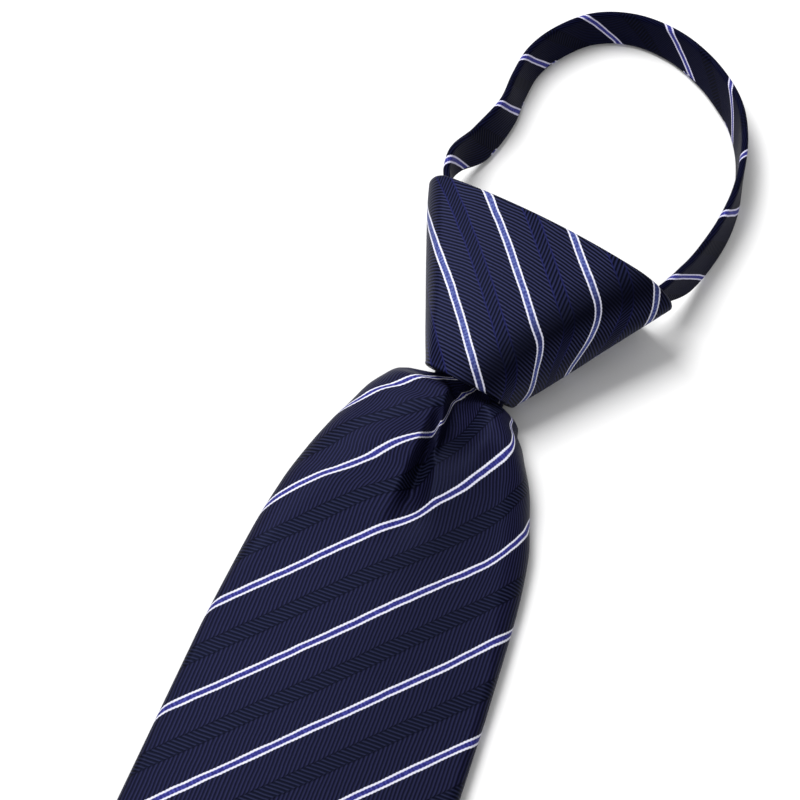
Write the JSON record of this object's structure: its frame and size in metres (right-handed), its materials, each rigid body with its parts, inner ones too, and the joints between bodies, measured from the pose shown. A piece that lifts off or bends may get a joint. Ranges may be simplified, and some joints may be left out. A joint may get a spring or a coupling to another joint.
{
  "type": "zipper tie",
  "caption": "Pre-tied zipper necktie lying flat: wedge knot, padded blade with a dimple and a pointed end, narrow neck band drawn into a loop, and the zip's tail behind the blade.",
  "frame": {"origin": "middle of the knot's flat back, on the surface that the tie lies on", "axes": "+Y from the blade's tip towards the neck loop, +Z out of the tie's front, +X to the right when the front is looked at with the loop at the top"},
  "size_m": [0.0831, 0.5468, 0.019],
  "materials": {
    "knot_cloth": "satin",
    "blade_cloth": "satin",
    "band_cloth": "satin",
    "zip_tape": "matte"
  },
  "bodies": {
    "root": {"knot": "knot_cloth", "blade": "blade_cloth", "neck_band": "band_cloth", "zip_tail": "zip_tape"}
  },
  "joints": []
}
